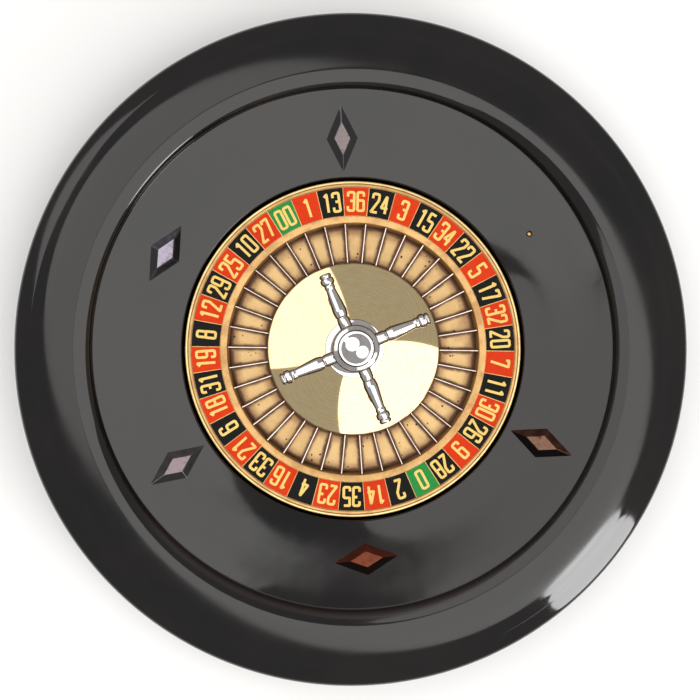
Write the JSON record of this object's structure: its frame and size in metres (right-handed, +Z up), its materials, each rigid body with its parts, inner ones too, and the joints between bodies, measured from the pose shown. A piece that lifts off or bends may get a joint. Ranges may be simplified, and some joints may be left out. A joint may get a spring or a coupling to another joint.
{
  "type": "roulette wheel",
  "caption": "Table roulette wheel: a round moulded bowl with deflector diamonds on its apron and a free-spinning rotor with a number ring, fret pockets, a brass cone and an armed turret.",
  "frame": {"origin": "centre of the underside, on the surface that the wheel stands on, where the rotor's axis meets it", "axes": "+Z up along the rotor's axis, +Y towards the diamond nearest the number 36 at rest, +X to its right seen from above"},
  "size_m": [0.508, 0.508, 0.0823],
  "materials": {
    "bakelite": "polished dark brown-black moulding with fine scratches",
    "diamond_bakelite": "dark sides, flat top worn to a pale pinkish brown",
    "gilt_brass": "bright brass with light wear",
    "aged_brass": "dull brass with brown tarnish and small pits",
    "polished_brass": "mirror polish",
    "bright_brass": "machined",
    "fret_metal": "worn copper-pink strip, bright along its nicked top edge",
    "chrome": "mirror plating",
    "steel": "turned",
    "wood": "turned hardwood, oiled",
    "baize": "felted wool cloth",
    "enamel_red": "semi-gloss enamel",
    "enamel_black": "semi-gloss enamel",
    "enamel_green": "semi-gloss enamel",
    "numeral_cream": "semi-gloss enamel, aged cream"
  },
  "bodies": {
    "bowl": {"bowl": "bakelite", "diamond_1": "diamond_bakelite", "diamond_2": "diamond_bakelite", "diamond_3": "diamond_bakelite", "diamond_4": "diamond_bakelite", "diamond_5": "diamond_bakelite", "vacant_station_screw": "bright_brass", "spindle": "steel", "spindle_nut": "steel", "baize_base": "baize"},
    "rotor": {"rotor_disc": "wood", "number_ring": "gilt_brass", "pocket_floor": "aged_brass", "cone": "polished_brass", "rotor_bush": "bright_brass", "turret_collar": "chrome", "turret_body": "chrome", "turret_arm_1": "chrome", "turret_arm_2": "chrome", "turret_arm_3": "chrome", "turret_arm_4": "chrome", "turret_cap": "chrome", "fret_01": "fret_metal", "fret_02": "fret_metal", "fret_03": "fret_metal", "fret_04": "fret_metal", "fret_05": "fret_metal", "fret_06": "fret_metal", "fret_07": "fret_metal", "fret_08": "fret_metal", "fret_09": "fret_metal", "fret_10": "fret_metal", "fret_11": "fret_metal", "fret_12": "fret_metal", "fret_13": "fret_metal", "fret_14": "fret_metal", "fret_15": "fret_metal", "fret_16": "fret_metal", "fret_17": "fret_metal", "fret_18": "fret_metal", "fret_19": "fret_metal", "fret_20": "fret_metal", "fret_21": "fret_metal", "fret_22": "fret_metal", "fret_23": "fret_metal", "fret_24": "fret_metal", "fret_25": "fret_metal", "fret_26": "fret_metal", "fret_27": "fret_metal", "fret_28": "fret_metal", "fret_29": "fret_metal", "fret_30": "fret_metal", "fret_31": "fret_metal", "fret_32": "fret_metal", "fret_33": "fret_metal", "fret_34": "fret_metal", "fret_35": "fret_metal", "fret_36": "fret_metal", "fret_37": "fret_metal", "fret_38": "fret_metal"}
  },
  "joints": [
    {"name": "rotor_spin", "type": "hinge", "parent": "bowl", "child": "rotor", "pos_m": [0, 0, 0.0671], "axis": [0, 0, 1], "continuous": true}
  ]
}
